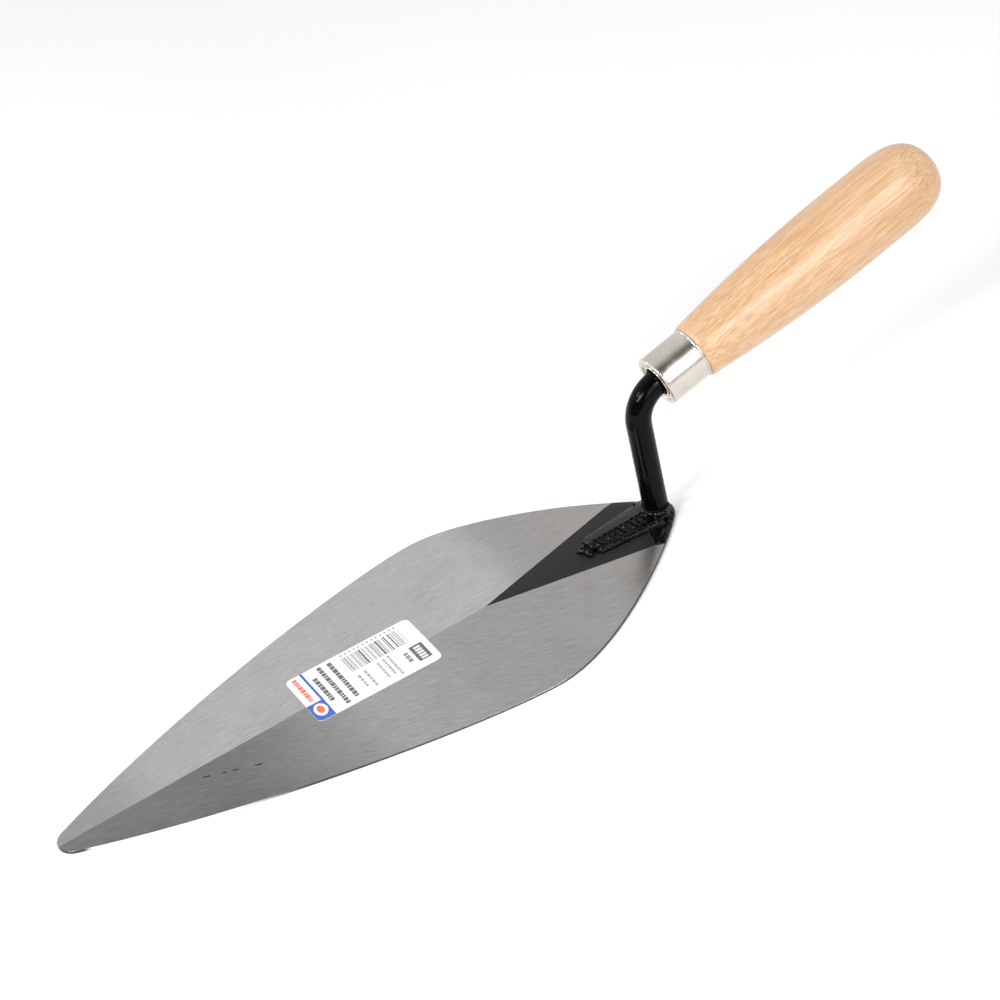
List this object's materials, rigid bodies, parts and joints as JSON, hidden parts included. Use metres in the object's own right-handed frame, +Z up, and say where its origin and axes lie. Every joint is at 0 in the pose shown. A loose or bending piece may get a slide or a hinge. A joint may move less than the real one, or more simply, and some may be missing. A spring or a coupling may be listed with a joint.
{
  "type": "brick trowel",
  "caption": "London-pattern brick trowel: broad pointed steel blade with a centre ridge, cranked round shank on a welded foot, metal ferrule and turned wooden handle.",
  "frame": {"origin": "on the plane that the blade's flat underside rests on, under the middle of the trowel's overall length and width", "axes": "+X along the trowel towards the blade's tip, +Y to the left of the blade seen from the handle, +Z up out of the blade's ridged top face"},
  "size_m": [0.4278, 0.1206, 0.1041],
  "materials": {
    "ground_steel": "surface-ground carbon steel with a satin black painted triangle at the heel",
    "gloss_black": "thick gloss black dipped paint over forged and welded steel",
    "nickel_ferrule": "nickel-plated drawn steel, lightly brushed",
    "varnished_wood": "clear varnish over straight-grained light hardwood",
    "label_paper": null
  },
  "bodies": {
    "root": {"blade": "ground_steel", "foot": "gloss_black", "shank": "gloss_black", "shank_weld": "gloss_black", "foot_weld_left": "gloss_black", "foot_weld_right": "gloss_black", "foot_weld_nose": "gloss_black", "ferrule": "nickel_ferrule", "handle": "varnished_wood", "label": "label_paper"}
  },
  "joints": []
}
